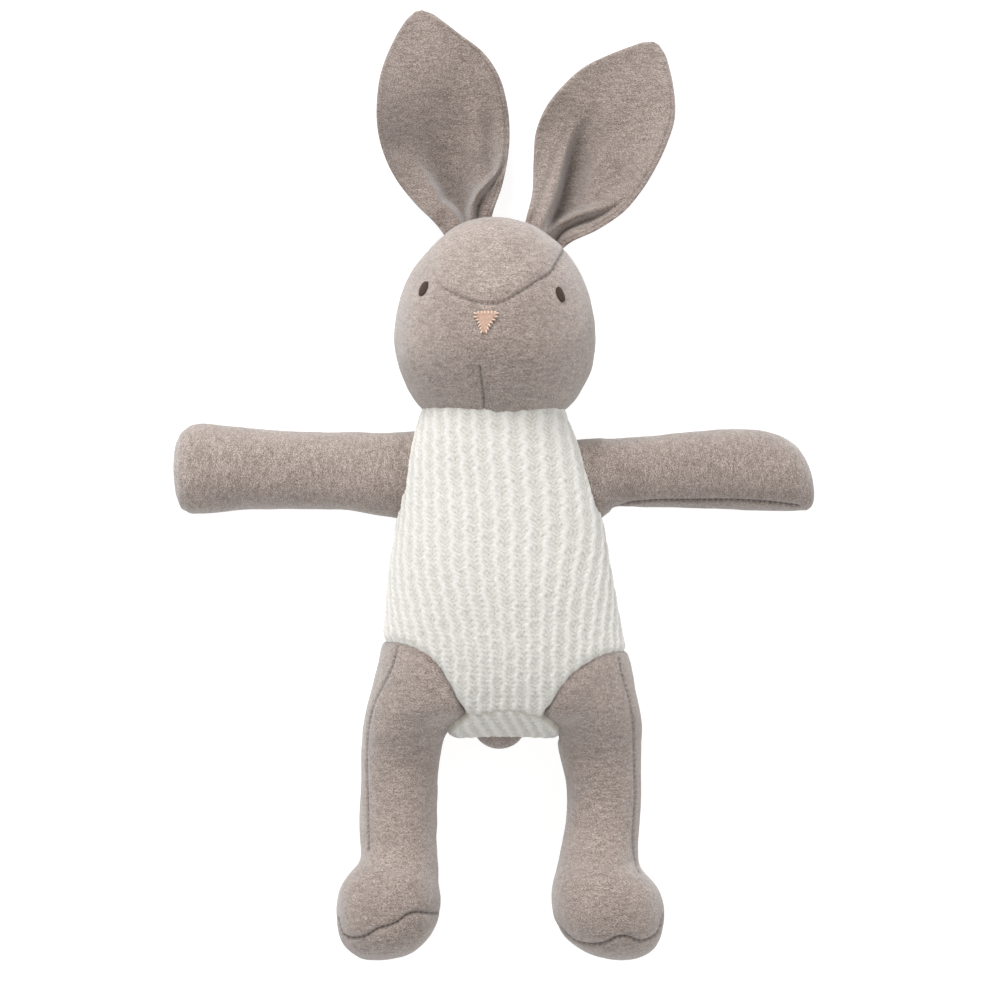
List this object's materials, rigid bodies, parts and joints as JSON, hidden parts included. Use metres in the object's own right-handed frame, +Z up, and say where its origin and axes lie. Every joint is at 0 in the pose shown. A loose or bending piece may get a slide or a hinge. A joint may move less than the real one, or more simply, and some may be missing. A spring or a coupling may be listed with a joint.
{
  "type": "stuffed bunny rabbit",
  "caption": "Stuffed bunny rabbit in heathered fleece with a ribbed knit bodysuit, lying on its back with its arms out; head, ears, arms and legs fold forward.",
  "frame": {"origin": "middle of the flat of the back that the toy lies on, on the surface under it", "axes": "+Z up, out of the toy's front; +Y towards the head and ears, -Y towards the feet; +X to the toy's own left"},
  "size_m": [0.2598, 0.3826, 0.0758],
  "materials": {
    "fleece": "brushed heathered jersey, matt",
    "knit": "ribbed cotton knit, matt",
    "felt": "pale peach felt, matt",
    "thread": "dark brown embroidery thread, satin",
    "filling": "white polyester fibre filling"
  },
  "bodies": {
    "torso": {"torso_knit_front": "knit", "torso_knit_back": "knit", "torso_stuffing": "filling", "tail_cover": "fleece", "tail_stuffing": "filling"},
    "head": {"head_face": "fleece", "head_crown": "fleece", "head_back": "fleece", "head_stuffing": "filling", "eye_left": "thread", "eye_right": "thread", "nose_patch": "felt"},
    "ear_left": {"ear_left_inner": "fleece", "ear_left_outer": "fleece"},
    "ear_right": {"ear_right_inner": "fleece", "ear_right_outer": "fleece"},
    "arm_left": {"arm_left_front": "fleece", "arm_left_back": "fleece", "arm_left_stuffing": "filling"},
    "arm_right": {"arm_right_front": "fleece", "arm_right_back": "fleece", "arm_right_stuffing": "filling"},
    "leg_left": {"leg_left_front": "fleece", "leg_left_back": "fleece", "leg_left_sole": "fleece", "leg_left_stuffing": "filling"},
    "leg_right": {"leg_right_front": "fleece", "leg_right_back": "fleece", "leg_right_sole": "fleece", "leg_right_stuffing": "filling"}
  },
  "joints": [
    {"name": "neck_nod", "type": "hinge", "parent": "torso", "child": "head", "pos_m": [-0.004, 0.069, 0.032], "axis": [1, 0, 0], "range_deg": [0, 20]},
    {"name": "ear_left_fold", "type": "hinge", "parent": "head", "child": "ear_left", "pos_m": [0.0182, 0.1406, 0.026], "axis": [0.866, -0.5, 0], "range_deg": [0, 80]},
    {"name": "ear_right_fold", "type": "hinge", "parent": "head", "child": "ear_right", "pos_m": [-0.0161, 0.1452, 0.026], "axis": [0.9703, 0.2419, 0], "range_deg": [0, 80]},
    {"name": "arm_left_swing", "type": "hinge", "parent": "torso", "child": "arm_left", "pos_m": [0.0363, 0.0425, 0.027], "axis": [0.2588, -0.9659, 0], "range_deg": [0, 90]},
    {"name": "arm_right_swing", "type": "hinge", "parent": "torso", "child": "arm_right", "pos_m": [-0.0417, 0.0425, 0.027], "axis": [0.2588, 0.9659, 0], "range_deg": [0, 90]},
    {"name": "leg_left_fold", "type": "hinge", "parent": "torso", "child": "leg_left", "pos_m": [0.0355, -0.05, 0.028], "axis": [-1, 0, 0], "range_deg": [0, 100]},
    {"name": "leg_right_fold", "type": "hinge", "parent": "torso", "child": "leg_right", "pos_m": [-0.0355, -0.05, 0.028], "axis": [-1, 0, 0], "range_deg": [0, 100]}
  ]
}
